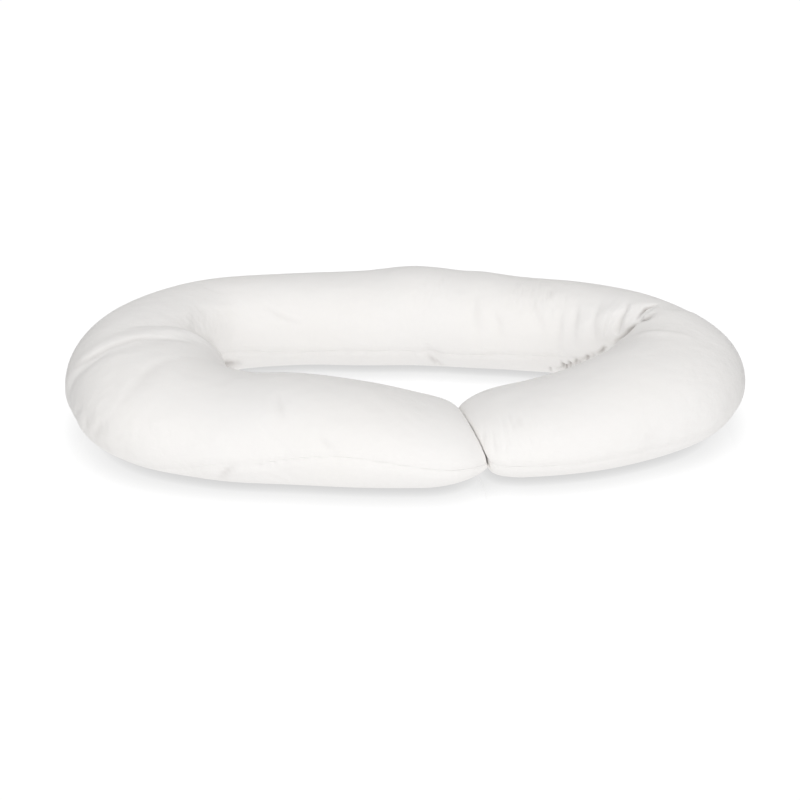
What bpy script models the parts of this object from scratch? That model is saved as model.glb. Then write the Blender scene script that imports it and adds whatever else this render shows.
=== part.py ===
"""Body pillow: one long stuffed cloth tube, laid round in a ring until its two blunt ends press together.

Metres, +Z up. The pillow lies on the plane z = 0, with the middle of its footprint box at the origin.
The front of the ring faces -Y, and the ends meet there, right of the middle.

The tube is two equal panels sewn together along one seam that follows both of its sides and both of
its ends, so each section is widest at the seam. Places on the tube are given by run and angle:
run is the distance along the middle line from the left-hand end, and angle goes round the section,
0 at the seam outside the ring, 90 at the top, 180 at the seam inside the ring, 270 underneath.
"""

import math
from collections import namedtuple

import bmesh
import bpy
import numpy as np

# One row for each section of the tube: where its middle is, how far it reaches to each side, how tall
# it is, and how many degrees below the seam it meets the ground.
Section = namedtuple("Section", "x y inside outside height foot")
SECTIONS = (
    Section(0.172, -0.160, 0.104, 0.104, 0.114, 64),    # left-hand end
    Section(0.080, -0.173, 0.118, 0.118, 0.131, 62),
    Section(-0.050, -0.170, 0.127, 0.127, 0.159, 60),
    Section(-0.190, -0.154, 0.133, 0.133, 0.172, 60),
    Section(-0.320, -0.133, 0.134, 0.142, 0.168, 60),
    Section(-0.437, -0.073, 0.138, 0.165, 0.183, 68),
    Section(-0.505, 0.048, 0.142, 0.156, 0.193, 72),    # left bend
    Section(-0.492, 0.192, 0.140, 0.154, 0.194, 74),
    Section(-0.400, 0.314, 0.116, 0.139, 0.190, 80),
    Section(-0.238, 0.357, 0.112, 0.140, 0.187, 82),
    Section(-0.080, 0.362, 0.120, 0.146, 0.190, 78),    # back run
    Section(0.025, 0.363, 0.122, 0.148, 0.202, 78),
    Section(0.120, 0.354, 0.121, 0.145, 0.197, 78),
    Section(0.175, 0.346, 0.120, 0.146, 0.195, 78),
    Section(0.260, 0.332, 0.115, 0.145, 0.186, 80),
    Section(0.380, 0.303, 0.112, 0.141, 0.187, 80),
    Section(0.490, 0.232, 0.118, 0.126, 0.190, 76),
    Section(0.534, 0.112, 0.104, 0.155, 0.187, 74),     # right bend
    Section(0.495, -0.008, 0.110, 0.157, 0.184, 72),
    Section(0.402, -0.085, 0.120, 0.130, 0.172, 62),
    Section(0.275, -0.125, 0.122, 0.127, 0.150, 62),
    Section(0.090, -0.148, 0.110, 0.112, 0.122, 64),    # right-hand end
)

# Shape of a section: a crowned top over the seam, a rounder belly under it, a flat foot on the ground.
SEAM_LEVEL = 0.46           # height of the seam, as a share of the section's height
SIDE_FULLNESS = 0.92        # under 1 is squarer than an ellipse, across
CROWN_FULLNESS = 0.95       # the same, upwards
SEAM_DEPTH = 0.004          # how far the stitching pulls the seam in

# Points round a section: closer together on the side inside the ring, where the creases are.
Arc = namedtuple("Arc", "end_angle step")
ARCS = (
    Arc(120, 10),
    Arc(216, 6),
    Arc(260, 11),
    Arc(360, 10),
)

# The blunt ends: each is a dome whose middle sags, because the filling thins out there.
END_LENGTH = 0.120
END_BLUNTNESS = 2.4         # of the crown: 2 is round, more is squarer
END_UNDERCUT = 1.6          # of the belly: under 2 it rises sooner than a round one
END_SAG = 0.80              # height of the dome's tip, as a share of the seam's height
END_RINGS = 7

# The two ends press together on a plane through this point. It is turned a little towards the back
# of the ring, and leans, because the right-hand end lies partly on the left-hand one.
PRESS_POINT = np.array([0.136, -0.160, 0.065])
PRESS_TURN = 14.0           # degrees round Z, from +X to the plane's normal
PRESS_LEAN = 20.0           # degrees that the normal rises
PRESS_GAP = 0.002
PRESS_SOFTNESS = 0.004      # how gently the domes turn into the pressed faces

# Rings of points along the tube: closer together where it bends.
Stretch = namedtuple("Stretch", "end_run pitch")
STRETCHES = (
    Stretch(0.600, 0.028),
    Stretch(1.000, 0.017),
    Stretch(1.600, 0.028),
    Stretch(1.920, 0.020),
    Stretch(2.220, 0.013),
    Stretch(math.inf, 0.028),
)

# Soft folds that the bends push up or pinch in. A fold runs over the cloth through its places, and has
# a height at each: up is a ridge, down is a trough. Its flank towards the left-hand end is as wide as
# before says, and its flank towards the right-hand end as wide as after says.
Place = namedtuple("Place", "run angle height")
Fold = namedtuple("Fold", "places before after")
FOLDS = (
    # left bend: a ridge right over the tube, and a trough outside it
    Fold((Place(0.825, 158, 0.003), Place(0.760, 95, 0.004), Place(0.745, 30, 0.002)), 0.018, 0.018),
    Fold((Place(0.730, 130, -0.002), Place(0.720, 82, -0.005), Place(0.730, 20, -0.005)), 0.022, 0.014),
    # left bend: the swelling of the front run that leans over the crease
    Fold((Place(0.765, 215, 0.010), Place(0.765, 180, 0.018), Place(0.762, 150, 0.012),
          Place(0.750, 100, 0.001)), 0.060, 0.024),
    # right bend: the swelling that leans over the crease
    Fold((Place(2.170, 215, 0.008), Place(2.180, 180, 0.023), Place(2.180, 155, 0.020),
          Place(2.150, 125, 0.008), Place(2.090, 84, 0.003)), 0.034, 0.120),
    # right bend: a pleat that ends at the crease, and a soft ridge across the top
    Fold((Place(2.063, 154, -0.003), Place(2.033, 130, -0.005), Place(1.998, 100, -0.001)), 0.014, 0.010),
    Fold((Place(2.133, 128, 0.002), Place(2.160, 105, 0.004), Place(2.168, 78, 0.002)), 0.010, 0.016),
    # back run: the notch where the cloth tucks under, and the hollow right of the hump
    Fold((Place(1.540, 190, -0.003), Place(1.558, 203, -0.010), Place(1.578, 222, -0.004)), 0.016, 0.012),
    Fold((Place(1.668, 150, -0.002), Place(1.628, 100, -0.003), Place(1.613, 55, -0.001)), 0.030, 0.030),
)

# Creases where the tube kinks at a bend: one flank rolls over the line, and the other, the ramp, runs in
# under it.
Crease = namedtuple("Crease", "places before after ramp")
CREASES = (
    # left bend: the front run rolls over the back run, from the corner inside the ring up over the top
    Crease((Place(0.860, 234, 0.000), Place(0.860, 205, -0.060), Place(0.854, 178, -0.078),
            Place(0.838, 152, -0.058), Place(0.815, 130, -0.024), Place(0.798, 105, -0.008),
            Place(0.787, 80, 0.000)),
           0.040, 0.160, "after"),
    # right bend: the front run rolls over the back run, the same way
    Crease((Place(2.070, 234, 0.000), Place(2.080, 205, -0.040), Place(2.092, 175, -0.050),
            Place(2.098, 150, -0.042), Place(2.092, 128, -0.030), Place(2.072, 106, -0.016),
            Place(2.040, 80, 0.000)),
           0.100, 0.026, "before"),
)

FOLD_SAMPLES = 120
FOLD_REACHES = 2.6          # a fold is left out past this many of its reaches
CLOSED_DEPTH = 0.010        # a crease at least this deep is closed
RAMP_CURVE = 1.2            # 1 is straight

CLOTH_COLOUR = (0.90, 0.89, 0.87, 1.0)
CLOTH_ROUGHNESS = 0.92

SPAN_SAMPLES = 40
SHARP_ANGLE = math.radians(60)


def read_rows(values, places):
    """Read a smooth curve through a table's rows, at places counted in rows."""
    padded = np.concatenate([2 * values[:1] - values[1:2], values, 2 * values[-1:] - values[-2:-1]])
    first = np.minimum(places.astype(int), len(padded) - 4)
    t = (places - first)[:, None]
    before, a, b, after = (padded[first + step] for step in range(4))
    return 0.5 * (2 * a + (b - before) * t
                  + (2 * before - 5 * a + 4 * b - after) * t ** 2
                  + (3 * a - before - 3 * b + after) * t ** 3)


def unit(vectors):
    size = np.linalg.norm(vectors, axis=-1, keepdims=True)
    return vectors / np.maximum(size, 1e-12)


class Tube:
    """The pillow's tube without its folds, as a function of arrays of runs and angles."""

    def __init__(self, sections):
        places = np.arange(SPAN_SAMPLES * (len(sections) - 1) + 1) / SPAN_SAMPLES
        self.samples = read_rows(np.array(sections), places)
        steps = np.diff(self.samples[:, :2], axis=0)
        self.runs = np.concatenate([[0.0], np.cumsum(np.hypot(steps[:, 0], steps[:, 1]))])
        self.length = self.runs[-1]
        self.heading = unit(np.gradient(self.samples[:, :2], self.runs, axis=0))

    def end_share(self, run, bluntness):
        """1 along the tube, falling to 0 at each end as the dome closes."""
        near = np.minimum(np.minimum(run, self.length - run), END_LENGTH) / END_LENGTH
        return (1 - (1 - near) ** bluntness) ** (1 / bluntness)

    def points(self, run, angle):
        x, y, inside, outside, height, foot = (np.interp(run, self.runs, c) for c in self.samples.T)
        along = unit(np.stack([np.interp(run, self.runs, c) for c in self.heading.T], axis=-1))
        share = self.end_share(run, END_BLUNTNESS)
        belly_share = self.end_share(run, END_UNDERCUT)
        across = np.cos(np.radians(angle))
        up = np.sin(np.radians(angle))
        reach = np.where(across > 0, outside, inside) * share
        seam = SEAM_LEVEL * height
        level = seam * (END_SAG + (1 - END_SAG) * share)
        crown = level + (height - seam) * share * np.abs(up) ** CROWN_FULLNESS
        belly = level + seam / np.sin(np.radians(foot)) * belly_share * up
        sideways = np.sign(across) * np.abs(across) ** SIDE_FULLNESS * reach
        return np.stack([
            x - along[..., 1] * sideways,
            y + along[..., 0] * sideways,
            np.maximum(np.where(up > 0, crown, belly), 0.0),
        ], axis=-1)

    def normals(self, run, angle):
        """The outward normals of the cloth, from two short steps over it."""
        step_run, step_angle = 0.002, 1.0
        run = np.clip(run, step_run, self.length - step_run)
        along = self.points(run + step_run, angle) - self.points(run - step_run, angle)
        around = self.points(run, angle + step_angle) - self.points(run, angle - step_angle)
        return unit(np.cross(around, along))


def ring_runs(length):
    """Where the rings of points stand: close together on the domes, then by the table of stretches."""
    turns = np.linspace(0.0, math.pi / 2, END_RINGS + 1)
    dome = END_LENGTH * (1 - np.cos(turns) ** (2 / END_BLUNTNESS))
    runs = list(dome)
    last = length - END_LENGTH
    for stretch in STRETCHES:
        stop = min(stretch.end_run, last)
        count = max(1, round((stop - runs[-1]) / stretch.pitch))
        runs.extend(np.linspace(runs[-1], stop, count + 1)[1:])
    runs.extend(length - dome[-2::-1])
    return np.array(runs)


def ring_angles():
    angles = []
    start = 0
    for arc in ARCS:
        angles.extend(range(start, arc.end_angle, arc.step))
        start = arc.end_angle
    return np.array(angles, float)


def nearest_places(tube, fold, points):
    """The points near a fold, how far off its line they are in reaches, and what the line has nearest."""
    spans = len(fold.places) - 1
    places = read_rows(np.array(fold.places), np.linspace(0.0, spans, FOLD_SAMPLES))
    path = tube.points(places[:, 0], places[:, 1])
    normals = tube.normals(places[:, 0], places[:, 1])
    to_after = unit(np.cross(np.gradient(path, axis=0), normals))
    margin = FOLD_REACHES * max(fold.before, fold.after)
    near = np.all((points > path.min(axis=0) - margin) & (points < path.max(axis=0) + margin), axis=-1)
    offsets = points[near][:, None, :] - path
    apart = np.linalg.norm(offsets, axis=-1)
    nearest = apart.argmin(axis=1)
    picked = np.arange(len(nearest))
    after = np.einsum("ij,ij->i", offsets[picked, nearest], to_after[nearest]) > 0
    reach = np.where(after, fold.after, fold.before)
    outwards = np.where(after, 1.0, -1.0) * reach
    return (near, apart[picked, nearest] / reach, places[nearest, 2], normals[nearest],
            to_after[nearest] * outwards[:, None], after)


def fold_lift(tube, folds, points):
    """How far the soft folds lift the cloth at each of the points."""
    total = np.zeros(points.shape[:-1])
    for fold in folds:
        near, distance, height, *_ = nearest_places(tube, fold, points)
        total[near] += height * np.exp(-distance ** 2)
    return total


def crease_shift(tube, creases, points):
    """How the creases move the cloth: one flank rolls over through a quarter turn, the other ramps down."""
    total = np.zeros(points.shape)
    for crease in creases:
        near, distance, height, normal, sideways, after = nearest_places(tube, crease, points)
        # a flank is narrower where its crease is shallow
        share = np.minimum(distance / np.sqrt(np.maximum(height / height.min(), 1e-6)), 1.0)
        turn = share * math.pi / 2
        ramp = after == (crease.ramp == "after")
        sunk = height * np.where(ramp, (1 - share) ** RAMP_CURVE, 1 - np.sin(turn))
        closed = np.where(ramp, 0.0, 1 - np.cos(turn) - share) * np.minimum(1.0, -height / CLOSED_DEPTH)
        total[near] += normal * sunk[:, None] + sideways * closed[:, None]
    return total


def press_ends(tube, points, run):
    """Flatten the domes where the two ends press together."""
    turn = math.radians(PRESS_TURN)
    lean = math.radians(PRESS_LEAN)
    normal = np.array([math.cos(turn) * math.cos(lean), math.sin(turn) * math.cos(lean), math.sin(lean)])
    side = np.where(run < tube.length / 2, 1.0, -1.0)
    beyond = side * ((points - PRESS_POINT) @ normal) + PRESS_GAP / 2
    pushed = PRESS_SOFTNESS * np.log1p(np.exp(np.minimum(beyond / PRESS_SOFTNESS, 40.0)))
    near = np.minimum(run, tube.length - run) < 2 * END_LENGTH
    return points - (np.where(near, side * pushed, 0.0))[..., None] * normal


def pillow_points(tube, run, angle):
    """The finished pillow: the tube, its folds and creases, its seam and its pressed ends."""
    points = tube.points(run, angle)
    lift = fold_lift(tube, FOLDS, points)
    lift -= np.where(angle % 180 == 0, SEAM_DEPTH * tube.end_share(run, END_BLUNTNESS), 0.0)
    shift = tube.normals(run, angle) * lift[..., None] + crease_shift(tube, CREASES, points)
    shift[points[..., 2] <= 0] = 0
    points = press_ends(tube, points + shift, run)
    points[..., 2] = np.maximum(points[..., 2], 0.0)
    return points


def build_pillow(name, material):
    """Skin the rings of the tube with faces. The first and last rings are the tips of the domes."""
    tube = Tube(SECTIONS)
    run, angle = np.meshgrid(ring_runs(tube.length), ring_angles(), indexing="ij")
    points = pillow_points(tube, run, angle)
    count = len(points[0])
    mesh = bpy.data.meshes.new(name)
    bm = bmesh.new()
    rings = [[bm.verts.new(point) for point in ring] for ring in points[1:-1]]
    for ring, following in zip(rings, rings[1:]):
        for here in range(count):
            after = (here + 1) % count
            bm.faces.new((ring[here], ring[after], following[after], following[here]))
    for ring, tip_points in ((rings[0], points[0]), (rings[-1], points[-1])):
        tip = bm.verts.new(tip_points.mean(axis=0))
        for here in range(count):
            bm.faces.new((ring[here], ring[(here + 1) % count], tip))
    bmesh.ops.recalc_face_normals(bm, faces=bm.faces)
    bmesh.ops.triangulate(bm, faces=bm.faces)
    centre_footprint(bm)
    bm.to_mesh(mesh)
    bm.free()
    mesh.shade_smooth()
    mesh.set_sharp_from_angle(angle=SHARP_ANGLE)
    mesh.materials.append(material)
    pillow = bpy.data.objects.new(name, mesh)
    bpy.context.scene.collection.objects.link(pillow)
    return pillow


def centre_footprint(bm):
    """Move the mesh level until the middle of its box is over the origin."""
    places = np.array([vert.co for vert in bm.verts])
    middle = (places.min(axis=0) + places.max(axis=0)) / 2
    bmesh.ops.translate(bm, verts=bm.verts, vec=(-middle[0], -middle[1], 0.0))


def make_material(name, colour, roughness):
    material = bpy.data.materials.new(name)
    material.use_nodes = True
    shader = material.node_tree.nodes["Principled BSDF"]
    shader.inputs["Base Color"].default_value = colour
    shader.inputs["Roughness"].default_value = roughness
    shader.inputs["Metallic"].default_value = 0.0
    material.diffuse_color = colour
    return material


def main():
    for old in list(bpy.data.objects):
        bpy.data.objects.remove(old)
    cloth = make_material("white_cotton", CLOTH_COLOUR, CLOTH_ROUGHNESS)
    build_pillow("pillow", cloth)


main()
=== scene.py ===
"""Looks of the body pillow: the cotton tube with its folds, seam and wrinkles, on a pale studio floor.

Metres, +Z up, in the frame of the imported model. Places on the tube are given by run and angle: run is
the distance along the middle line from the left-hand end, and angle goes round the section, 0 at the
seam outside the ring, 90 at the top, 180 at the seam inside the ring, 270 underneath.
"""

import math
from collections import namedtuple

import bmesh
import bpy
import numpy as np
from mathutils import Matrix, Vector


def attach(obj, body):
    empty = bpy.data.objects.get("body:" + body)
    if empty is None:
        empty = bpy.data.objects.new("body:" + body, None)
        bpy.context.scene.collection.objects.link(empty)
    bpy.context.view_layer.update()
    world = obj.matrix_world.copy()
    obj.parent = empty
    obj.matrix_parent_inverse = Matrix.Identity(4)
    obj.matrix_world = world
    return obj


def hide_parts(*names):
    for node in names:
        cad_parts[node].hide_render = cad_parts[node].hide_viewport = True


# The tube, as the solid has it: where a section's middle is, how far it reaches sideways, how tall it
# is, and how many degrees below the seam it meets the floor.
Section = namedtuple("Section", "x y inside outside height foot")
SECTIONS = (
    Section(0.172, -0.160, 0.104, 0.104, 0.114, 64),    # left-hand end
    Section(0.080, -0.173, 0.118, 0.118, 0.131, 62),
    Section(-0.050, -0.170, 0.127, 0.127, 0.159, 60),
    Section(-0.190, -0.154, 0.133, 0.133, 0.172, 60),
    Section(-0.320, -0.133, 0.134, 0.142, 0.168, 60),
    Section(-0.437, -0.073, 0.138, 0.165, 0.183, 68),
    Section(-0.505, 0.048, 0.142, 0.156, 0.193, 72),    # left bend
    Section(-0.492, 0.192, 0.140, 0.154, 0.194, 74),
    Section(-0.400, 0.314, 0.116, 0.139, 0.190, 80),
    Section(-0.238, 0.357, 0.112, 0.140, 0.187, 82),
    Section(-0.080, 0.362, 0.120, 0.146, 0.190, 78),    # back run
    Section(0.025, 0.363, 0.122, 0.148, 0.202, 78),
    Section(0.120, 0.354, 0.121, 0.145, 0.197, 78),
    Section(0.175, 0.346, 0.120, 0.146, 0.195, 78),
    Section(0.260, 0.332, 0.115, 0.145, 0.186, 80),
    Section(0.380, 0.303, 0.112, 0.141, 0.187, 80),
    Section(0.490, 0.232, 0.118, 0.126, 0.190, 76),
    Section(0.534, 0.112, 0.104, 0.155, 0.187, 74),     # right bend
    Section(0.495, -0.008, 0.110, 0.157, 0.184, 72),
    Section(0.402, -0.085, 0.120, 0.130, 0.172, 62),
    Section(0.275, -0.125, 0.122, 0.127, 0.150, 62),
    Section(0.090, -0.148, 0.110, 0.112, 0.122, 64),    # right-hand end
)
SPAN_SAMPLES = 40           # of the smooth tube between two rows
SEAM_LEVEL = 0.46           # height of the seam, as a share of the section's height
SIDE_FULLNESS = 0.92        # under 1 is squarer than an ellipse, across
CROWN_FULLNESS = 0.95       # the same, upwards

# The blunt ends and the plane on which they press together, a little closer than in the solid.
END_LENGTH = 0.120
END_BLUNTNESS = 2.4         # of the crown
END_UNDERCUT = 1.6          # of the belly
END_SAG = 0.80              # height of a dome's tip, as a share of the seam's height
PRESS_POINT = np.array([0.136, -0.160, 0.065])
PRESS_TURN = 14.0           # degrees round Z, from +X to the plane's normal
PRESS_LEAN = 20.0           # degrees that the normal rises
PRESS_GAP = 0.0009
PRESS_SOFTNESS = 0.004      # how gently the domes turn into the pressed faces
PRESS_REACH = 0.240         # of the tube, from each of its ends
PRESS_LIMIT = 40.0          # in softnesses, so that the exponent stays in range

# The main folds. A fold runs over the cloth through a few places, with a height at each. Before and
# after are how far it reaches to the left and to the right of that line, seen from outside the cloth.
Place = namedtuple("Place", "run angle height")
Fold = namedtuple("Fold", "places before after")
MAIN_FOLDS = (
    # left bend: a ridge right over the tube, and a trough outside it
    Fold((Place(0.825, 158, 0.003), Place(0.760, 95, 0.003), Place(0.745, 30, 0.001)), 0.018, 0.018),
    Fold((Place(0.730, 130, -0.002), Place(0.720, 82, -0.004), Place(0.730, 20, -0.004)), 0.022, 0.014),
    # left bend: the swelling of the front run that leans over the crease
    Fold((Place(0.765, 215, 0.010), Place(0.765, 180, 0.018), Place(0.762, 150, 0.012),
          Place(0.750, 100, 0.001)), 0.060, 0.024),
    # right bend: the swelling that leans over the crease
    Fold((Place(2.170, 215, 0.008), Place(2.180, 180, 0.020), Place(2.180, 155, 0.015),
          Place(2.150, 125, 0.000), Place(2.090, 84, 0.003)), 0.034, 0.120),
    # right bend: a pleat that ends at the crease, and a soft ridge across the top
    Fold((Place(2.063, 154, -0.003), Place(2.033, 130, -0.005), Place(1.998, 100, -0.001)), 0.014, 0.010),
    Fold((Place(2.180, 124, 0.002), Place(2.188, 104, 0.004), Place(2.188, 78, 0.002)), 0.010, 0.016),
    # back run: the notch where the cloth tucks under, and the hollow right of the hump
    Fold((Place(1.540, 190, -0.003), Place(1.558, 203, -0.010), Place(1.578, 222, -0.004)), 0.016, 0.012),
    Fold((Place(1.668, 150, -0.002), Place(1.628, 100, -0.003), Place(1.613, 55, -0.001)), 0.030, 0.030),
)
# The creases of the solid: one flank rolls over the line, and the other, the ramp, runs in under it.
Crease = namedtuple("Crease", "places before after ramp")
CREASES = (
    # left bend: the front run rolls over the back run, from the corner inside the ring up over the top
    Crease((Place(0.860, 234, 0.000), Place(0.860, 205, -0.060), Place(0.854, 178, -0.078),
            Place(0.838, 152, -0.058), Place(0.815, 130, -0.024), Place(0.798, 105, -0.008),
            Place(0.787, 80, 0.000)),
           0.040, 0.160, "after"),
    # right bend: the front run rolls over the back run, the same way
    Crease((Place(2.070, 234, 0.000), Place(2.080, 205, -0.040), Place(2.092, 175, -0.050),
            Place(2.098, 150, -0.042), Place(2.092, 128, -0.030), Place(2.072, 106, -0.016),
            Place(2.040, 80, 0.000)),
           0.100, 0.026, "before"),
)

# The small wrinkles, which only the cloth has. Shade is painted into the cloth in them: its colour is
# darker there by the share of painted shade.
Wrinkle = namedtuple("Wrinkle", "places before after shade")
WRINKLES = (
    # right crease: the slit along it, a second slit above, and the pleat that meets it
    Wrinkle((Place(2.040, 155, -0.003), Place(2.054, 140, -0.006), Place(2.064, 127, -0.008),
             Place(2.072, 117, -0.008), Place(2.086, 109, -0.008), Place(2.089, 104, -0.006),
             Place(2.080, 98, -0.002)), 0.0032, 0.0100, 0.50),
    Wrinkle((Place(2.058, 109, -0.002), Place(2.049, 100, -0.006), Place(2.041, 92, -0.008),
             Place(2.040, 82, -0.001)), 0.0034, 0.0032, 0.55),
    Wrinkle((Place(2.036, 140, -0.003), Place(2.030, 128, -0.004), Place(2.018, 111, -0.003),
             Place(2.002, 101, -0.001)), 0.006, 0.004, 0.14),
    # right crease: the bunched parts of it, dark with painted shade
    Wrinkle((Place(1.960, 179, -0.003), Place(1.980, 174, -0.007), Place(2.008, 168, -0.003)),
            0.0038, 0.0038, 0.40),
    Wrinkle((Place(1.845, 219, -0.001), Place(1.875, 208, -0.004), Place(1.908, 196, -0.003),
             Place(1.950, 180, -0.001)), 0.0060, 0.0060, 0.28),
    # left bend: the corner inside the ring, dark with painted shade, and the line that runs up from it
    Wrinkle((Place(1.018, 206, -0.003), Place(1.040, 215, -0.010), Place(1.078, 215, -0.004)),
            0.013, 0.015, 0.45),
    Wrinkle((Place(0.926, 139, -0.001), Place(0.974, 158, -0.002), Place(1.000, 176, -0.003),
             Place(1.016, 196, -0.003)), 0.006, 0.010, 0.14),
    # left bend: lines outside it, and puckers at the seam
    Wrinkle((Place(0.709, 123, -0.001), Place(0.732, 92, -0.002), Place(0.732, 74, -0.003),
             Place(0.734, 50, -0.003), Place(0.745, 30, -0.001)), 0.008, 0.006, 0.16),
    Wrinkle((Place(0.627, 95, -0.001), Place(0.624, 78, -0.003), Place(0.614, 58, -0.002),
             Place(0.610, 44, -0.001)), 0.020, 0.012, 0.05),
    Wrinkle((Place(0.692, -10, -0.001), Place(0.682, 2, -0.002), Place(0.668, 14, -0.001)),
            0.008, 0.007, 0.05),
    Wrinkle((Place(0.640, -16, -0.001), Place(0.632, -2, -0.003), Place(0.618, 18, -0.001)),
            0.009, 0.007, 0.08),
    Wrinkle((Place(0.657, -12, -0.001), Place(0.652, 3, -0.002), Place(0.642, 20, -0.001)),
            0.007, 0.007, 0.03),
    # front run: the kink below the seam, and two streaks above it
    Wrinkle((Place(0.446, 353, -0.001), Place(0.461, 340, -0.006), Place(0.472, 322, -0.003)),
            0.007, 0.007, 0.12),
    Wrinkle((Place(0.388, 72, -0.001), Place(0.380, 60, -0.003), Place(0.370, 46, -0.001)),
            0.006, 0.008, 0.06),
    Wrinkle((Place(0.300, 30, -0.001), Place(0.290, 22, -0.003), Place(0.276, 18, -0.001)),
            0.008, 0.008, 0.05),
    # back run: streaks and curves of its inner wall, the notch, and fine wrinkles near the right bend
    Wrinkle((Place(1.652, 122, -0.001), Place(1.656, 143, -0.004), Place(1.661, 166, -0.001)),
            0.007, 0.010, 0.06),
    Wrinkle((Place(1.694, 136, -0.001), Place(1.704, 150, -0.003), Place(1.711, 166, -0.001)),
            0.006, 0.009, 0.05),
    Wrinkle((Place(1.184, 136, -0.001), Place(1.212, 149, -0.003), Place(1.250, 158, -0.001)),
            0.008, 0.006, 0.06),
    Wrinkle((Place(1.548, 206, -0.002), Place(1.564, 222, -0.007), Place(1.583, 236, -0.002)),
            0.007, 0.005, 0.20),
    Wrinkle((Place(1.766, 99, -0.001), Place(1.780, 132, -0.003), Place(1.802, 158, -0.001)),
            0.007, 0.010, 0.04),
    Wrinkle((Place(1.846, 128, -0.001), Place(1.849, 150, -0.003), Place(1.852, 176, -0.001)),
            0.008, 0.010, 0.03),
    Wrinkle((Place(1.884, 118, -0.001), Place(1.891, 145, -0.004), Place(1.900, 172, -0.001)),
            0.007, 0.011, 0.04),
    Wrinkle((Place(1.936, 112, -0.001), Place(1.940, 140, -0.004), Place(1.944, 164, -0.001)),
            0.008, 0.010, 0.05),
)

# Gathers: the short tucks in a row where the back run goes in under the right bend, with shade painted
# into the cloth in each. Each runs from the top angle to the bottom one.
Gather = namedtuple("Gather", "run top bottom depth shade")
GATHERS = (
    Gather(1.826, 213, 224, 0.004, 0.40),
    Gather(1.850, 212, 222, 0.002, 0.15),
    Gather(1.869, 198, 214, 0.006, 0.50),
    Gather(1.876, 203, 216, 0.006, 0.60),
    Gather(1.888, 194, 208, 0.006, 0.55),
    Gather(1.904, 189, 202, 0.005, 0.40),
    Gather(1.912, 192, 200, 0.003, 0.30),
    Gather(1.930, 182, 193, 0.005, 0.45),
    Gather(1.946, 178, 186, 0.002, 0.20),
)
GATHER_REACH = 0.0040
# The places of a gather: how far aside of its run, how far down from its top (0) to its bottom (1), and
# the share of its depth.
Step = namedtuple("Step", "aside down depth_share")
GATHER_STEPS = (
    Step(-0.002, 0.0, 0.2),
    Step(0.000, 0.5, 1.0),
    Step(-0.001, 1.0, 0.6),
)

# Crumpled patches: fine puckers in the relief of the cloth, with shade painted into their hollows,
# strongest in the middle of each patch.
Patch = namedtuple("Patch", "run angle run_reach angle_reach strength")
PATCHES = (
    Patch(1.780, 112, 0.070, 26, 1.0),      # back run, right of its hump
    Patch(1.560, 120, 0.060, 30, 0.5),      # back run, on its hump
    Patch(2.000, 125, 0.050, 26, 0.6),      # right bend, beside its crease
    Patch(2.600, 34, 0.075, 32, 0.9),       # right-hand end
    Patch(0.640, 10, 0.070, 32, 0.7),       # outside the left bend
)
CRUMPLE_DEPTH = 0.0050      # of the puckers, where a patch has strength 1
# Shade is painted into the cloth in the puckers' hollows.
CRUMPLE_HOLLOW = 0.48       # the cloth is darker where the puckers' noise is below this
CRUMPLE_PAINTED_SHADE = 0.20

# The seam that joins the two panels: where it runs, outside the ring and inside it.
Seam = namedtuple("Seam", "run angle")
OUTER_SEAM = (
    Seam(0.00, 0), Seam(0.09, 0), Seam(0.16, 4), Seam(0.23, 8), Seam(0.28, 8), Seam(0.33, 4),
    Seam(0.36, 0), Seam(0.42, -7), Seam(0.47, -7), Seam(0.49, -13), Seam(0.52, -20), Seam(0.55, -26),
    Seam(0.60, -36), Seam(0.72, -38), Seam(0.90, -24), Seam(1.10, -10), Seam(1.60, -4), Seam(2.00, -16),
    Seam(2.50, -16), Seam(2.62, -10), Seam(2.70, 0),
)
INNER_SEAM = (
    Seam(0.00, 180), Seam(0.60, 184), Seam(0.90, 190), Seam(1.01, 193), Seam(1.15, 193), Seam(1.25, 199),
    Seam(1.38, 194), Seam(1.54, 199), Seam(1.64, 200), Seam(1.71, 194), Seam(1.79, 193), Seam(1.95, 187),
    Seam(2.10, 182), Seam(2.75, 180),
)
SEAM_DEPTH = 0.0022         # how far the stitching pulls the cloth in
SEAM_REACH = 0.0100
SEAM_BULGE = 0.0008         # how far the cloth stands out on both sides of it
SEAM_BULGE_REACH = 0.024

FOLD_SAMPLES = 120          # of a fold's line
FOLD_REACHES = 2.6          # a fold is left out past this many of its reaches
CLOSED_DEPTH = 0.010        # a crease at least this deep is closed
SHALLOW_SHARE = 1e-6        # of a crease's depth: where it is shallower, its width shrinks no more
RAMP_CURVE = 1.2            # 1 is straight
# The shade of a wrinkle is painted into the cloth's colour.
WRINKLE_FOCUS = 1.5         # over 1 keeps a wrinkle's shade narrower than the wrinkle
NORMAL_RUN = 0.002          # the short steps that find the cloth's normals
NORMAL_ANGLE = 1.0
TINY = 1e-12                # keeps a division by nothing away

# The grid of the cloth that is simulated, and the finer grid that is shown: pitch is the distance
# between two lines of the first, and split is how many spans of the second each of its spans becomes.
END_RINGS = 9               # of a dome
DOME_SPLIT = 2
Stretch = namedtuple("Stretch", "end_run pitch split")
STRETCHES = (
    Stretch(0.620, 0.0125, 2),
    Stretch(1.060, 0.0078, 2),
    Stretch(1.640, 0.0125, 2),
    Stretch(1.810, 0.0100, 2),
    Stretch(2.190, 0.0075, 3),
    Stretch(math.inf, 0.0125, 2),
)
Panel = namedtuple("Panel", "end_angle pitch split")
PANELS = (
    Panel(120, 0.0085, 2),      # from the seam outside the ring over the top
    Panel(180, 0.0078, 3),      # down to the seam inside the ring
    Panel(216, 0.0078, 3),
    Panel(290, 0.0140, 1),      # the foot
    Panel(360, 0.0090, 2),
)
PANEL_SAMPLES = 400         # that measure a panel round the section

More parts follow.
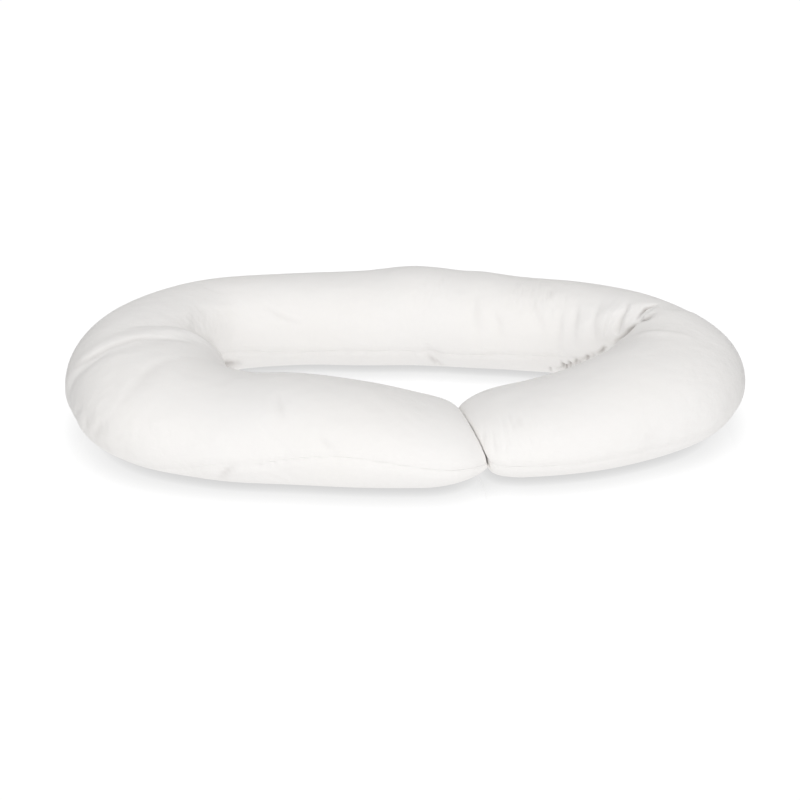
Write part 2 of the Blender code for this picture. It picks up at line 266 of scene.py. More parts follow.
# The cloth simulation. It swells the cloth, and only the small buckles of that are kept: the swelling
# that is left after a blur over some rings and columns of the grid is taken out.
SIM_FRAMES = 20
SIM_QUALITY = 5
SIM_MASS = 0.3
SIM_STRETCHING = 20.0
SIM_SHEARING = 5.0
SIM_BENDING = 0.3
SIM_PRESSURE = 4.0
SIM_HOLD = 1.0
SIM_CAP = 0.020             # no point moves further
SWELL_RINGS = 6
SWELL_COLUMNS = 5
BLUR_PASSES = 2
SETTLED_SHARE = 0.3         # how much of the buckles is kept
# how firmly the cloth is held where it was: 1 on the floor and at the tips, least between them
HOLD_SHARE = 0.05
HOLD_LEVEL = 0.0005         # up to this height it lies on the floor
HOLD_END = 0.180            # how far from a tip the hold reaches
# how much longer than its place the cloth is, as a share: a little all over, and more inside the bends
BASE_SLACK = 0.012
SLACK_FOCUS = 1.5           # over 1 keeps the slack closer to the seam inside the ring
Bend = namedtuple("Bend", "run reach slack")
BENDS = (
    Bend(0.840, 0.130, 0.20),
    Bend(2.000, 0.160, 0.25),
)

# The camera: the photograph's angle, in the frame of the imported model.
CAMERA_ELEVATION = 25.0
CAMERA_DISTANCE = 2.62
CAMERA_LENS = 60.0
CAMERA_SENSOR = 36.0
TARGET = Vector((-0.0123, -0.1071, 0.065))

# Studio light: a white room and a glowing floor that both fade to the left and right, and one lamp.
ROOM_LIGHT = 0.87
ROOM_FADE_START = 0.46      # by a direction's sideways part: 0 is the middle, 1 is straight to the side
ROOM_FADE_END = 1.02
ROOM_BACK = 0.50            # how much the direction's part to the back counts for the fade as well
LAMP_LIGHT = 0.88
LAMP_AZIMUTH = 10.0
LAMP_ELEVATION = 25.0
LAMP_SPREAD = 110.0
FLOOR_SIZE = 60.0
FLOOR_GLOW = 1.12           # as the camera sees it
FLOOR_BOUNCE = 0.94         # as it lights the pillow
FLOOR_FADE_START = 0.75     # metres left and right of the middle
FLOOR_FADE_END = 1.4
FLOOR_GLOSS = 0.12
FLOOR_ROUGHNESS = 0.12
# The floor's contact shadow is painted: its glow darkens where ambient occlusion finds the pillow near.
CONTACT_REACH = 0.06        # how far from the pillow the floor darkens
CONTACT_SHADE = 0.30        # the share of its glow that it loses where it is covered
CLOSE_REACH = 0.018         # the same once more, close to the pillow
CLOSE_SHADE = 0.13
CONTACT_SAMPLES = 12

COTTON_COLOUR = (0.945, 0.925, 0.900, 1.0)
COTTON_OTHER_COLOUR = (0.935, 0.922, 0.912, 1.0)
# The colour that painted shade mixes the cloth towards, in creases, wrinkles, gathers and pucker hollows.
PAINTED_SHADE_COLOUR = (0.16, 0.12, 0.10, 1.0)
COTTON_ROUGHNESS = 0.9
COTTON_SHEEN = 0.03
SHEEN_ROUGHNESS = 0.5
TONE_SCALE = 5.0
TONE_DETAIL = 2.0
THREAD_PITCH = 0.0011
THREAD_RELIEF = 0.00002
Relief = namedtuple("Relief", "scale detail depth")
RELIEFS = (
    Relief(18.0, 1.0, 0.0030),      # uneven filling
    Relief(60.0, 2.0, 0.0009),
    Relief(420.0, 2.0, 0.00016),    # slubs
)
STITCH_REACH = 0.0028
STITCH_DEPTH = 0.0008
PUCKER_REACH = 0.030
PUCKER_DEPTH = 0.0016
PUCKER_PITCH = 0.014        # along the tube
PUCKER_STRETCH = 0.25       # a pucker's width along the tube, as a share of its length across
PUCKER_DETAIL = 1.0

# The sockets of a Mix node that are for colours.
MIX_FIRST = 6
MIX_SECOND = 7
MIX_RESULT = 2


def read_rows(values, places, ring=False):
    """Read a smooth curve through an array's rows, at places counted in rows. A ring closes on itself.

    The curve is a Catmull-Rom spline.
    """
    if ring:
        padded = np.concatenate([values[-1:], values, values[:2]])
    else:
        padded = np.concatenate([2 * values[:1] - values[1:2], values, 2 * values[-1:] - values[-2:-1]])
    first = np.minimum(places.astype(int), len(padded) - 4)
    t = (places - first).reshape(-1, *[1] * (values.ndim - 1))
    before, a, b, after = (padded[first + step] for step in range(4))
    return 0.5 * (2 * a + (b - before) * t
                  + (2 * before - 5 * a + 4 * b - after) * t ** 2
                  + (3 * a - before - 3 * b + after) * t ** 3)


def unit(vectors):
    """The vectors with their lengths brought to 1."""
    size = np.linalg.norm(vectors, axis=-1, keepdims=True)
    return vectors / np.maximum(size, TINY)


class Tube:
    """The pillow's tube without its folds, as a function of arrays of runs and angles."""

    def __init__(self, sections):
        places = np.arange(SPAN_SAMPLES * (len(sections) - 1) + 1) / SPAN_SAMPLES
        self.samples = read_rows(np.array(sections), places)
        steps = np.diff(self.samples[:, :2], axis=0)
        self.runs = np.concatenate([[0.0], np.cumsum(np.hypot(steps[:, 0], steps[:, 1]))])
        self.length = self.runs[-1]
        self.heading = unit(np.gradient(self.samples[:, :2], self.runs, axis=0))

    def end_share(self, run, bluntness):
        """1 along the tube, falling to 0 at each end as the dome closes."""
        near = np.minimum(np.minimum(run, self.length - run), END_LENGTH) / END_LENGTH
        return (1 - (1 - near) ** bluntness) ** (1 / bluntness)

    def points(self, run, angle):
        """Places on the cloth."""
        x, y, inside, outside, height, foot = (np.interp(run, self.runs, c) for c in self.samples.T)
        along = unit(np.stack([np.interp(run, self.runs, c) for c in self.heading.T], axis=-1))
        share = self.end_share(run, END_BLUNTNESS)
        belly_share = self.end_share(run, END_UNDERCUT)
        across = np.cos(np.radians(angle))
        up = np.sin(np.radians(angle))
        reach = np.where(across > 0, outside, inside) * share
        seam = SEAM_LEVEL * height
        level = seam * (END_SAG + (1 - END_SAG) * share)
        crown = level + (height - seam) * share * np.abs(up) ** CROWN_FULLNESS
        belly = level + seam / np.sin(np.radians(foot)) * belly_share * up
        sideways = np.sign(across) * np.abs(across) ** SIDE_FULLNESS * reach
        return np.stack([
            x - along[..., 1] * sideways,
            y + along[..., 0] * sideways,
            np.maximum(np.where(up > 0, crown, belly), 0.0),
        ], axis=-1)

    def normals(self, run, angle):
        """The outward normals of the cloth, from two short steps over it."""
        run = np.clip(run, NORMAL_RUN, self.length - NORMAL_RUN)
        along = self.points(run + NORMAL_RUN, angle) - self.points(run - NORMAL_RUN, angle)
        around = self.points(run, angle + NORMAL_ANGLE) - self.points(run, angle - NORMAL_ANGLE)
        return unit(np.cross(around, along))


def ring_runs(length):
    """Where the rings of the grid stand, and how often each one's span is split."""
    turns = np.linspace(0.0, math.pi / 2, END_RINGS + 1)
    dome = END_LENGTH * (1 - np.cos(turns) ** (2 / END_BLUNTNESS))
    runs = list(dome)
    splits = [DOME_SPLIT] * END_RINGS
    last = length - END_LENGTH
    for stretch in STRETCHES:
        stop = min(stretch.end_run, last)
        count = max(1, round((stop - runs[-1]) / stretch.pitch))
        runs.extend(np.linspace(runs[-1], stop, count + 1)[1:])
        splits.extend([stretch.split] * count)
    runs.extend(length - dome[-2::-1])
    splits.extend([DOME_SPLIT] * END_RINGS)
    return np.array(runs), splits


def column_angles(tube):
    """Angles round a section, as far apart as the panels say, and how often each one's span is split."""
    angles = []
    splits = []
    first = 0.0
    for panel in PANELS:
        fine = np.linspace(first, panel.end_angle, PANEL_SAMPLES)
        places = tube.points(np.full(fine.shape, tube.length / 2), fine)
        passed = np.concatenate([[0.0], np.cumsum(np.linalg.norm(np.diff(places, axis=0), axis=1))])
        count = max(1, round(passed[-1] / panel.pitch))
        angles.extend(np.interp(np.linspace(0.0, passed[-1], count + 1)[:-1], passed, fine))
        splits.extend([panel.split] * count)
        first = panel.end_angle
    return np.array(angles), splits


def nearest_places(tube, fold, points):
    """How a fold lies to the points near it.

    Gives which points are near, and for each of those its distance from the fold's line in reaches, the
    line's height and normal at its nearest place, a step of one reach towards the point's side of the
    line, and whether that is the side after it.
    """
    spans = len(fold.places) - 1
    places = read_rows(np.array(fold.places), np.linspace(0.0, spans, FOLD_SAMPLES))
    path = tube.points(places[:, 0], places[:, 1])
    normals = tube.normals(places[:, 0], places[:, 1])
    to_after = unit(np.cross(np.gradient(path, axis=0), normals))
    margin = FOLD_REACHES * max(fold.before, fold.after)
    near = np.all((points > path.min(axis=0) - margin) & (points < path.max(axis=0) + margin), axis=-1)
    offsets = points[near][:, None, :] - path
    apart = np.linalg.norm(offsets, axis=-1)
    nearest = apart.argmin(axis=1)
    picked = np.arange(len(nearest))
    after = np.einsum("ij,ij->i", offsets[picked, nearest], to_after[nearest]) > 0
    reach = np.where(after, fold.after, fold.before)
    outwards = np.where(after, 1.0, -1.0) * reach
    return (near, apart[picked, nearest] / reach, places[nearest, 2], normals[nearest],
            to_after[nearest] * outwards[:, None], after)


def fold_lift(tube, folds, points):
    """How far the soft folds lift the cloth at each of the points."""
    total = np.zeros(points.shape[:-1])
    for fold in folds:
        near, distance, height, *_ = nearest_places(tube, fold, points)
        total[near] += height * np.exp(-distance ** 2)
    return total


def crease_shift(tube, creases, points):
    """How the creases move the cloth: one flank rolls over through a quarter turn, the other ramps down."""
    total = np.zeros(points.shape)
    for crease in creases:
        near, distance, height, normal, sideways, after = nearest_places(tube, crease, points)
        # a flank is narrower where its crease is shallow
        width = np.sqrt(np.maximum(height / height.min(), SHALLOW_SHARE))
        share = np.minimum(distance / width, 1.0)
        turn = share * math.pi / 2
        ramp = after == (crease.ramp == "after")
        sunk = height * np.where(ramp, (1 - share) ** RAMP_CURVE, 1 - np.sin(turn))
        closed = np.where(ramp, 0.0, 1 - np.cos(turn) - share) * np.minimum(1.0, -height / CLOSED_DEPTH)
        total[near] += normal * sunk[:, None] + sideways * closed[:, None]
    return total


def press_ends(tube, points, run):
    """Flatten the domes where the two ends press together."""
    turn = math.radians(PRESS_TURN)
    lean = math.radians(PRESS_LEAN)
    normal = np.array([math.cos(turn) * math.cos(lean), math.sin(turn) * math.cos(lean), math.sin(lean)])
    side = np.where(run < tube.length / 2, 1.0, -1.0)
    beyond = side * ((points - PRESS_POINT) @ normal) + PRESS_GAP / 2
    pushed = PRESS_SOFTNESS * np.log1p(np.exp(np.minimum(beyond / PRESS_SOFTNESS, PRESS_LIMIT)))
    near = np.minimum(run, tube.length - run) < PRESS_REACH
    return points - np.where(near, side * pushed, 0.0)[..., None] * normal


def grid_mesh(name, grid):
    """A closed mesh over a grid of rings, whose first and last rings are the tips of the domes."""
    rings, columns = grid.shape[:2]
    mesh = bpy.data.meshes.new(name)
    body = grid[1:-1].reshape(-1, 3)
    tips = np.array([grid[0].mean(axis=0), grid[-1].mean(axis=0)])
    ring, column = np.meshgrid(np.arange(rings - 3), np.arange(columns), indexing="ij")
    after = (column + 1) % columns
    quads = np.stack([
        ring * columns + column, ring * columns + after,
        (ring + 1) * columns + after, (ring + 1) * columns + column,
    ], axis=-1).reshape(-1, 4)
    first_tip = len(body)
    fans = [(c, first_tip, (c + 1) % columns) for c in range(columns)]
    end = (rings - 3) * columns
    fans += [(end + c, end + (c + 1) % columns, first_tip + 1) for c in range(columns)]
    mesh.from_pydata(np.concatenate([body, tips]).tolist(), [], quads.tolist() + fans)
    mesh.validate()
    bm = bmesh.new()
    bm.from_mesh(mesh)
    bmesh.ops.recalc_face_normals(bm, faces=bm.faces)
    bm.to_mesh(mesh)
    bm.free()
    mesh.shade_smooth()
    return mesh


def place_mesh(name, mesh, material):
    """A new piece of the scene, from a mesh and its material."""
    piece = bpy.data.objects.new(name, mesh)
    bpy.context.scene.collection.objects.link(piece)
    piece.data.materials.append(material)
    return piece


def cotton_material():
    """White woven cotton with shade painted into its creases, wrinkles, gathers and pucker hollows;
    puckered at the seam, its tone not quite even.
    """
    material = bpy.data.materials.new("white_cotton")
    material.use_nodes = True
    tree = material.node_tree
    nodes, links = tree.nodes, tree.links
    shader = nodes["Principled BSDF"]
    shader.inputs["Roughness"].default_value = COTTON_ROUGHNESS
    shader.inputs["Sheen Weight"].default_value = COTTON_SHEEN
    shader.inputs["Sheen Roughness"].default_value = SHEEN_ROUGHNESS
    place = nodes.new("ShaderNodeTexCoord").outputs["Object"]
    tone = noise(tree, place, TONE_SCALE, TONE_DETAIL)
    even = blend_colour(tree, tone, COTTON_COLOUR, COTTON_OTHER_COLOUR)
    stretched = nodes.new("ShaderNodeCombineXYZ")
    links.new(attribute(tree, "along"), stretched.inputs["X"])
    links.new(math_node(tree, "MULTIPLY", attribute(tree, "around"), PUCKER_STRETCH),
              stretched.inputs["Y"])
    pucker = noise(tree, stretched.outputs["Vector"], 1 / PUCKER_PITCH, PUCKER_DETAIL)
    crumple = attribute(tree, "crumple")
    # painted shade in the pucker hollows of the crumpled patches
    hollow = smooth_fade(tree, pucker, 0.0, CRUMPLE_HOLLOW, CRUMPLE_PAINTED_SHADE)
    # Painted shade: the wrinkles' and gathers' shade from the mesh, with the shade in the pucker hollows,
    # darkens the colour towards the crease colour.
    shade = math_node(tree, "ADD", attribute(tree, "shade"),
                      math_node(tree, "MULTIPLY", crumple, hollow))
    cloth = blend_colour(tree, shade, even, PAINTED_SHADE_COLOUR)
    links.new(cloth, shader.inputs["Base Color"])

    # the relief, in metres: threads, slubs, an uneven filling, crumpled patches, puckers and stitches
    threads = math_node(tree, "ADD", ripple(tree, attribute(tree, "along"), THREAD_PITCH),
                        ripple(tree, attribute(tree, "around"), THREAD_PITCH))
    relief = math_node(tree, "MULTIPLY", threads, THREAD_RELIEF)
    for row in RELIEFS:
        lump = noise(tree, place, row.scale, row.detail)
        relief = math_node(tree, "ADD", relief, math_node(tree, "MULTIPLY", lump, row.depth))
    stitch = smooth_fade(tree, attribute(tree, "seam"), 0.0, STITCH_REACH, -STITCH_DEPTH)
    near_seam = smooth_fade(tree, attribute(tree, "seam"), 0.0, PUCKER_REACH, PUCKER_DEPTH)
    in_patch = math_node(tree, "MULTIPLY", crumple, CRUMPLE_DEPTH)
    pucker_depth = math_node(tree, "ADD", near_seam, in_patch)
    relief = math_node(tree, "ADD", relief, math_node(tree, "MULTIPLY", pucker_depth, pucker))
    relief = math_node(tree, "ADD", relief, stitch)
    bump = nodes.new("ShaderNodeBump")
    bump.inputs["Strength"].default_value = 1.0
    bump.inputs["Distance"].default_value = 1.0
    links.new(relief, bump.inputs["Height"])
    links.new(bump.outputs["Normal"], shader.inputs["Normal"])
    return material


def attribute(tree, name):
    """The number that the mesh has under a name at each of its points."""
    node = tree.nodes.new("ShaderNodeAttribute")
    node.attribute_name = name
    return node.outputs["Fac"]


def noise(tree, vector, scale, detail):
    """A smooth noise from 0 to 1."""
    node = tree.nodes.new("ShaderNodeTexNoise")
    node.inputs["Scale"].default_value = scale
    node.inputs["Detail"].default_value = detail
    tree.links.new(vector, node.inputs["Vector"])
    return node.outputs["Fac"]


def ripple(tree, value, pitch):
    """A wave along a value, from -1 to 1."""
    return math_node(tree, "SINE", math_node(tree, "MULTIPLY", value, 2 * math.pi / pitch), 0.0)


def smooth_fade(tree, factor, start, end, value):
    """The value up to the start, falling smoothly to nothing at the end."""
    fade = tree.nodes.new("ShaderNodeMapRange")
    fade.interpolation_type = "SMOOTHSTEP"
    fade.inputs["From Min"].default_value = start
    fade.inputs["From Max"].default_value = end
    fade.inputs["To Min"].default_value = value
    fade.inputs["To Max"].default_value = 0.0
    tree.links.new(factor, fade.inputs["Value"])
    return fade.outputs["Result"]


def blend_colour(tree, factor, first, second):
    """A mix of two colours; each is a colour or another node's output."""
    node = tree.nodes.new("ShaderNodeMix")
    node.data_type = "RGBA"
    tree.links.new(factor, node.inputs["Factor"])
    for socket, value in ((node.inputs[MIX_FIRST], first), (node.inputs[MIX_SECOND], second)):
        if isinstance(value, tuple):
            socket.default_value = value
        else:
            tree.links.new(value, socket)
    return node.outputs[MIX_RESULT]


def blur(values, ring_reach, column_reach):
    """Average each point of a grid with its neighbours, a number of steps each way."""
    def average(array, axis, reach, wrap):
        count = 2 * reach + 1
        ends = [(0, 0)] * array.ndim
        ends[axis] = (reach, reach)
        padded = np.pad(array, ends, mode="wrap" if wrap else "edge")
        total = np.cumsum(padded, axis=axis)
        ends[axis] = (1, 0)
        total = np.pad(total, ends)
        high = np.take(total, np.arange(count, total.shape[axis]), axis=axis)
        low = np.take(total, np.arange(0, total.shape[axis] - count), axis=axis)
        return (high - low) / count
    for _ in range(BLUR_PASSES):
        values = average(values, 0, ring_reach, False)
        values = average(values, 1, column_reach, True)
    return values


def grid_weights(piece, name, weights):
    """A vertex group with a weight for each point of the grid."""
    group = piece.vertex_groups.new(name=name)
    for index, weight in enumerate(weights[1:-1].ravel()):
        group.add([index], float(weight), "REPLACE")
    return group.name


def simulate(grid, slack, hold):
    """Where the stuffing has pressed the points of a grid's mesh to, after some frames."""
    piece = place_mesh("cloth_trial", grid_mesh("cloth_trial", grid), cotton_material())
    settings = piece.modifiers.new("cloth", "CLOTH").settings
    settings.quality = SIM_QUALITY
    settings.mass = SIM_MASS
    settings.tension_stiffness = SIM_STRETCHING
    settings.compression_stiffness = SIM_STRETCHING
    settings.shear_stiffness = SIM_SHEARING
    settings.bending_stiffness = SIM_BENDING
    settings.use_pressure = True
    settings.uniform_pressure_force = SIM_PRESSURE
    settings.vertex_group_shrink = grid_weights(piece, "slack", slack / slack.max())
    settings.shrink_min = 0.0
    settings.shrink_max = -float(slack.max())
    settings.vertex_group_mass = grid_weights(piece, "hold", hold)
    settings.pin_stiffness = SIM_HOLD
    settings.effector_weights.gravity = 0.0
    scene = bpy.context.scene
    for number in range(1, SIM_FRAMES + 1):
        scene.frame_set(number)
    shown = piece.evaluated_get(bpy.context.evaluated_depsgraph_get()).to_mesh()
    places = np.empty(len(shown.vertices) * 3)
    shown.vertices.foreach_get("co", places)
    bpy.data.objects.remove(piece)
    scene.frame_set(1)
    return places.reshape(-1, 3)


def settle(grid, slack, hold):
    """Give a grid the small buckles that its cloth gets under the pressure of the stuffing."""
    columns = grid.shape[1]
    moved = simulate(grid, slack, hold)[:-2].reshape(-1, columns, 3) - grid[1:-1]
    reach = np.linalg.norm(moved, axis=-1, keepdims=True)
    moved *= np.minimum(1.0, SIM_CAP / np.maximum(reach, TINY))
    moved -= blur(moved, SWELL_RINGS, SWELL_COLUMNS)
    settled = grid.copy()
    settled[1:-1] += SETTLED_SHARE * moved
    settled[..., 2] = np.maximum(settled[..., 2], 0.0)
    return settled


def cloth_hold(tube, run, points):
    """How firmly the cloth is held at each point while it is simulated."""
    from_tip = np.minimum(run, tube.length - run)
    end_hold = np.clip(1 - from_tip / HOLD_END, 0, 1)
    return np.maximum(np.where(points[..., 2] <= HOLD_LEVEL, 1.0, HOLD_SHARE), end_hold)


def cloth_slack(run, angle):
    """How much longer than its place the cloth is: most inside the bends."""
    inside = np.clip(-np.cos(np.radians(angle)) * 0.5 + 0.5, 0, 1) ** SLACK_FOCUS
    slack = np.full(run.shape, BASE_SLACK)
    for bend in BENDS:
        slack += bend.slack * inside * np.exp(-((run - bend.run) / bend.reach) ** 2)
    return slack


def main_shape(tube, run, angle):
    """The tube with its main folds and creases, and its ends pressed together."""
    points = tube.points(run, angle)
    lift = fold_lift(tube, MAIN_FOLDS, points)
    shift = tube.normals(run, angle) * lift[..., None] + crease_shift(tube, CREASES, points)
    shift[points[..., 2] <= 0] = 0
    points = points + shift
    points = press_ends(tube, points, run)
    points[..., 2] = np.maximum(points[..., 2], 0.0)
    return points


def grid_normals(grid):
    """The outward normals of a grid whose rows go round the tube."""
    along = np.gradient(grid, axis=0)
    around = np.roll(grid, -1, axis=1) - np.roll(grid, 1, axis=1)
    return unit(np.cross(around, along))


def split_spans(splits):
    """Places between rows, counted in rows, where each row's span is split as often as asked."""
    return np.concatenate([row + np.arange(split) / split for row, split in enumerate(splits)])


def gather_wrinkles():
    """The gathers as wrinkles, deepest in their middle."""
    wrinkles = []
    for gather in GATHERS:
        height = gather.bottom - gather.top
        places = tuple(Place(gather.run + step.aside, gather.top + step.down * height,
                             -step.depth_share * gather.depth) for step in GATHER_STEPS)
        wrinkles.append(Wrinkle(places, GATHER_REACH, GATHER_REACH, gather.shade))
    return tuple(wrinkles)


def wrinkle_marks(tube, wrinkles, points):
    """How far the small wrinkles lift the cloth at each of the points, and how much shade is painted into
    the cloth in them.
    """
    lift = np.zeros(points.shape[:-1])
    shade = np.zeros(points.shape[:-1])
    for wrinkle in wrinkles:
        near, distance, height, *_ = nearest_places(tube, wrinkle, points)
        shape = np.exp(-distance ** 2)
        lift[near] += height * shape
        # painted shade, darkest at the deepest places of the wrinkle's line
        strength = np.minimum(1.0, height / min(place.height for place in wrinkle.places))
        shade[near] = np.maximum(shade[near], wrinkle.shade * strength * shape ** WRINKLE_FOCUS)
    return lift, shade


def seam_offset(grid, run, angle, seam):
    """How far each point lies from a seam, measured round its section: plus on the side of more angle."""
    steps = np.linalg.norm(np.roll(grid, -1, axis=1) - grid, axis=-1)
    passed = np.concatenate([np.zeros((len(grid), 1)), np.cumsum(steps, axis=1)], axis=1)
    seam_angles = np.interp(run[:, 0], [row.run for row in seam], [row.angle for row in seam]) % 360
    columns = np.append(angle[0], 360.0)
    at = np.array([np.interp(turn, columns, row) for turn, row in zip(seam_angles, passed)])
    around = passed[:, -1:]
    return (passed[:, :-1] - at[:, None] + around / 2) % around - around / 2


def crumpled(run, angle):
    """How crumpled the cloth is at each place."""
    share = np.zeros(run.shape)
    for patch in PATCHES:
        turn = (angle - patch.angle + 180) % 360 - 180
        far = ((run - patch.run) / patch.run_reach) ** 2 + (turn / patch.angle_reach) ** 2
        share = np.maximum(share, patch.strength * np.exp(-far))
    return share


def small_shape(tube, run, angle, grid):
    """Add the small wrinkles and the seam to the fine grid. Also gives what the cloth's material reads."""
    smooth = tube.points(run, angle)
    lift, shade = wrinkle_marks(tube, WRINKLES + gather_wrinkles(), smooth)
    outer = seam_offset(grid, run, angle, OUTER_SEAM)
    inner = seam_offset(grid, run, angle, INNER_SEAM)
    offset = np.minimum(np.abs(outer), np.abs(inner))
    lift -= SEAM_DEPTH * np.exp(-(offset / SEAM_REACH) ** 2)
    lift += SEAM_BULGE * np.exp(-(offset / SEAM_BULGE_REACH) ** 2)
    lift[smooth[..., 2] <= 0] = 0
    # one of the marks is the painted shade that darkens the cloth's colour in wrinkles and gathers
    marks = {"along": run, "around": outer, "seam": offset, "shade": shade,
             "crumple": crumpled(run, angle)}
    return grid + grid_normals(grid) * lift[..., None], marks


def mark_points(mesh, marks):
    """Give each point of a grid's mesh the numbers that its material reads."""
    for name, values in marks.items():
        mark = mesh.attributes.new(name, "FLOAT", "POINT")
        tips = [values[0].mean(), values[-1].mean()]
        mark.data.foreach_set("value", np.append(values[1:-1].ravel(), tips).astype(np.float32))


def build_pillow():
    """The cloth: its main shape on a coarse grid, settled there, and the small shape on a finer one."""
    tube = Tube(SECTIONS)
    runs, ring_splits = ring_runs(tube.length)
    angles, column_splits = column_angles(tube)
    run, angle = np.meshgrid(runs, angles, indexing="ij")
    points = main_shape(tube, run, angle)
    points = settle(points, cloth_slack(run, angle), cloth_hold(tube, run, points))
    rows = np.append(split_spans(ring_splits), len(runs) - 1.0)
    columns = split_spans(column_splits)
    grid = read_rows(points, rows)
    grid = read_rows(grid.transpose(1, 0, 2), columns, ring=True).transpose(1, 0, 2)
    fine_runs = np.interp(rows, np.arange(len(runs)), runs)
    fine_angles = np.interp(columns, np.arange(len(angles) + 1), np.append(angles, 360.0))
    run, angle = np.meshgrid(fine_runs, fine_angles, indexing="ij")
    grid, marks = small_shape(tube, run, angle, grid)
    grid[..., 2] = np.maximum(grid[..., 2], 0.0)
    flat = grid.reshape(-1, 3)
    middle = (flat.min(axis=0) + flat.max(axis=0)) / 2
    grid = grid - [middle[0], middle[1], 0.0]
    mesh = grid_mesh("cotton_pillow", grid)
    mark_points(mesh, marks)
    return place_mesh("cotton_pillow", mesh, cotton_material())


def math_node(tree, operation, first, second):
    """A math node's result; an input is a number or another node's output."""
    node = tree.nodes.new("ShaderNodeMath")
    node.operation = operation
    for socket, value in zip(node.inputs, (first, second)):
        if isinstance(value, (int, float)):
            socket.default_value = value
        else:
            tree.links.new(value, socket)
    return node.outputs["Value"]


def fade_sideways(tree, vector, start, end, value, back=0.0):
    """The value in the middle, falling smoothly to nothing at the sides, by the size of a vector's x.

    With a share for the back, its y counts too: the value falls sooner behind the middle.
    """
    parts = tree.nodes.new("ShaderNodeSeparateXYZ")
    tree.links.new(vector, parts.inputs["Vector"])
    aside = math_node(tree, "ABSOLUTE", parts.outputs["X"], 0.0)
    behind = math_node(tree, "MULTIPLY", parts.outputs["Y"], back)
    return smooth_fade(tree, math_node(tree, "ADD", aside, behind), start, end, value)


def pick(tree, factor, otherwise, value):
    """The value where the factor is 1, and the other one where it is 0."""
    node = tree.nodes.new("ShaderNodeMix")
    tree.links.new(factor, node.inputs["Factor"])
    tree.links.new(otherwise, node.inputs["A"])
    tree.links.new(value, node.inputs["B"])
    return node.outputs["Result"]


def build_floor():
    """A white glowing floor with a painted contact shadow only close to what stands on it, and a faint
    reflection.
    """
    mesh = bpy.data.meshes.new("studio_floor")
    far = FLOOR_SIZE / 2
    corners = [(-far, -far, 0), (far, -far, 0), (far, far, 0), (-far, far, 0)]
    mesh.from_pydata(corners, [], [(0, 1, 2, 3)])
    material = bpy.data.materials.new("studio_floor")
    material.use_nodes = True
    tree = material.node_tree
    nodes, links = tree.nodes, tree.links
    nodes.remove(nodes["Principled BSDF"])
    # painted contact shadow: the glow that the camera sees, darkened by ambient occlusion at two reaches
    shown = FLOOR_GLOW * (1 - CONTACT_SHADE - CLOSE_SHADE)
    for reach, share in ((CONTACT_REACH, CONTACT_SHADE), (CLOSE_REACH, CLOSE_SHADE)):
        contact = nodes.new("ShaderNodeAmbientOcclusion")
        contact.samples = CONTACT_SAMPLES
        contact.inputs["Distance"].default_value = reach
        open_share = math_node(tree, "MULTIPLY", contact.outputs["AO"], FLOOR_GLOW * share)
        shown = math_node(tree, "ADD", shown, open_share)
    place = nodes.new("ShaderNodeNewGeometry").outputs["Position"]
    bounce = fade_sideways(tree, place, FLOOR_FADE_START, FLOOR_FADE_END, FLOOR_BOUNCE)
    rays = nodes.new("ShaderNodeLightPath")
    glow = nodes.new("ShaderNodeEmission")
    links.new(pick(tree, rays.outputs["Is Camera Ray"], bounce, shown), glow.inputs["Strength"])
    gloss = nodes.new("ShaderNodeBsdfGlossy")
    gloss.inputs["Roughness"].default_value = FLOOR_ROUGHNESS
    mix = nodes.new("ShaderNodeMixShader")
    mix.inputs["Fac"].default_value = FLOOR_GLOSS
    links.new(glow.outputs["Emission"], mix.inputs[1])
    links.new(gloss.outputs["BSDF"], mix.inputs[2])
    links.new(mix.outputs["Shader"], nodes["Material Output"].inputs["Surface"])
    floor = place_mesh("studio_floor", mesh, material)


def look_from(place, target):
    """The turn of a camera or lamp at a place that faces the target."""
    return (target - place).to_track_quat("-Z", "Y").to_euler()


def build_lamp():
    """A large soft lamp in front of the pillow, right of the camera and as high."""
    tilt, turn = math.radians(LAMP_ELEVATION), math.radians(LAMP_AZIMUTH)
    away = Vector((math.sin(turn) * math.cos(tilt), -math.cos(turn) * math.cos(tilt), math.sin(tilt)))
    light = bpy.data.lights.new("front_lamp", "SUN")
    light.energy = LAMP_LIGHT
    light.angle = math.radians(LAMP_SPREAD)
    lamp = bpy.data.objects.new("front_lamp", light)
    lamp.location = TARGET + away * CAMERA_DISTANCE
    lamp.rotation_euler = look_from(lamp.location, TARGET)
    bpy.context.scene.collection.objects.link(lamp)


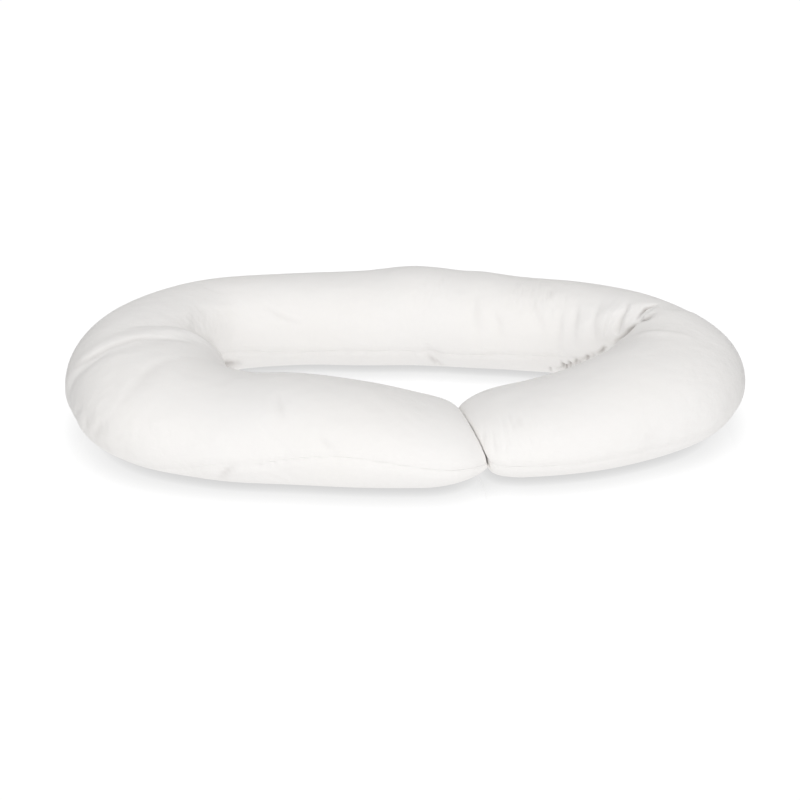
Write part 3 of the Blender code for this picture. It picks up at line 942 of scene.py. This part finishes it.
def build_studio():
    """The room's light, a white backdrop that only the camera sees, and the lamp."""
    scene = bpy.context.scene
    scene.view_settings.view_transform = "Standard"
    world = bpy.data.worlds.new("studio")
    scene.world = world
    world.use_nodes = True
    tree = world.node_tree
    nodes, links = tree.nodes, tree.links
    room = nodes["Background"]
    room.inputs["Color"].default_value = (1.0, 1.0, 1.0, 1.0)
    direction = nodes.new("ShaderNodeTexCoord").outputs["Generated"]
    light = fade_sideways(tree, direction, ROOM_FADE_START, ROOM_FADE_END, ROOM_LIGHT, ROOM_BACK)
    links.new(light, room.inputs["Strength"])
    backdrop = nodes.new("ShaderNodeBackground")
    backdrop.inputs["Color"].default_value = (1.0, 1.0, 1.0, 1.0)
    rays = nodes.new("ShaderNodeLightPath")
    mix = nodes.new("ShaderNodeMixShader")
    links.new(rays.outputs["Is Camera Ray"], mix.inputs["Fac"])
    links.new(room.outputs["Background"], mix.inputs[1])
    links.new(backdrop.outputs["Background"], mix.inputs[2])
    links.new(mix.outputs["Shader"], nodes["World Output"].inputs["Surface"])
    build_lamp()


def build_camera():
    """The camera, at the photograph's angle."""
    data = bpy.data.cameras.new("camera")
    data.lens = CAMERA_LENS
    data.sensor_width = CAMERA_SENSOR
    camera = bpy.data.objects.new("camera", data)
    tilt = math.radians(CAMERA_ELEVATION)
    away = Vector((0.0, -math.cos(tilt), math.sin(tilt)))
    camera.location = TARGET + away * CAMERA_DISTANCE
    camera.rotation_euler = look_from(camera.location, TARGET)
    bpy.context.scene.collection.objects.link(camera)
    bpy.context.scene.camera = camera


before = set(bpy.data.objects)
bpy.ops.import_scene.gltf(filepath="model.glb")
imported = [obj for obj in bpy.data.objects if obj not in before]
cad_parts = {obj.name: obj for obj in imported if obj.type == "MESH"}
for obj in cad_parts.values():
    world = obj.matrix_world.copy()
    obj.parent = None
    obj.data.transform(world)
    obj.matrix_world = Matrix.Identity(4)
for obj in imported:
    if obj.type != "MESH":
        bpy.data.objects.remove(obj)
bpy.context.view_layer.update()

build_camera()
pillow = build_pillow()
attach(pillow, "root")
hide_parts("pillow")

build_floor()
build_studio()
